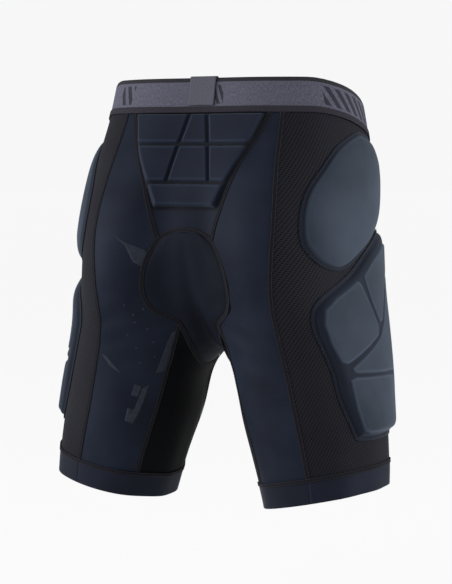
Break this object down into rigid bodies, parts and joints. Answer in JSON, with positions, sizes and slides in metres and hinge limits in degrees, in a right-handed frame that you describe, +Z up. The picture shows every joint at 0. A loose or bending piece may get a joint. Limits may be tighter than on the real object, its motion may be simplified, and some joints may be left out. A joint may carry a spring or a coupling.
{
  "type": "padded impact shorts",
  "caption": "Close-fitting stretch shorts with foam pads at the tailbone, hips and outer thighs, a seat pad, an elastic waistband with a hanging loop, and gripper hems.",
  "frame": {"origin": "middle of the waist opening, level with the waistband's top edge at the centre back", "axes": "+Z up, as worn; +X towards the wearer's left; the wearer faces -Y, so the seat is on the +Y side"},
  "size_m": [0.389, 0.2393, 0.4511],
  "materials": {
    "lycra": "smooth matt four-way stretch knit",
    "mesh_fabric": "open knit mesh",
    "pad_fabric": "brushed stretch knit over foam",
    "waist_elastic": "woven elastic",
    "webbing": "flat woven tape",
    "stitching": "flatlock thread",
    "pad_foam": "closed-cell foam, matt",
    "seat_pad_fleece": "brushed fleece over foam",
    "silicone": "printed silicone, satin"
  },
  "bodies": {
    "root": {"waistband": "waist_elastic", "waist_seam_tape": "stitching", "back_loop": "webbing", "yoke_panel": "lycra", "crotch_gusset": "lycra", "tailbone_pad": "pad_foam", "tailbone_lining": "mesh_fabric", "seat_pad": "seat_pad_fleece", "back_leg_panel_left": "lycra", "back_leg_panel_right": "lycra", "front_leg_panel_left": "lycra", "front_leg_panel_right": "lycra", "inner_thigh_panel_left": "lycra", "inner_thigh_panel_right": "lycra", "hem_band_side_left": "lycra", "hem_band_side_right": "lycra", "hem_band_back_left": "lycra", "hem_band_back_right": "lycra", "side_mesh_panel_left": "mesh_fabric", "side_mesh_panel_right": "mesh_fabric", "hip_pad_left": "pad_foam", "hip_pad_right": "pad_foam", "thigh_pad_left": "pad_foam", "thigh_pad_right": "pad_foam", "hip_pad_cover_left": "pad_fabric", "hip_pad_cover_right": "pad_fabric", "thigh_pad_cover_left": "pad_fabric", "thigh_pad_cover_right": "pad_fabric", "hem_gripper_left": "silicone", "hem_gripper_right": "silicone", "hem_seam_left": "stitching", "hem_seam_right": "stitching", "yoke_seam_left": "stitching", "yoke_seam_right": "stitching", "mesh_back_seam_left": "stitching", "mesh_back_seam_right": "stitching", "mesh_front_seam_left": "stitching", "mesh_front_seam_right": "stitching", "inner_back_seam_left": "stitching", "inner_back_seam_right": "stitching", "inner_front_seam_left": "stitching", "inner_front_seam_right": "stitching", "gusset_seam": "stitching", "centre_front_seam": "stitching"}
  },
  "joints": []
}
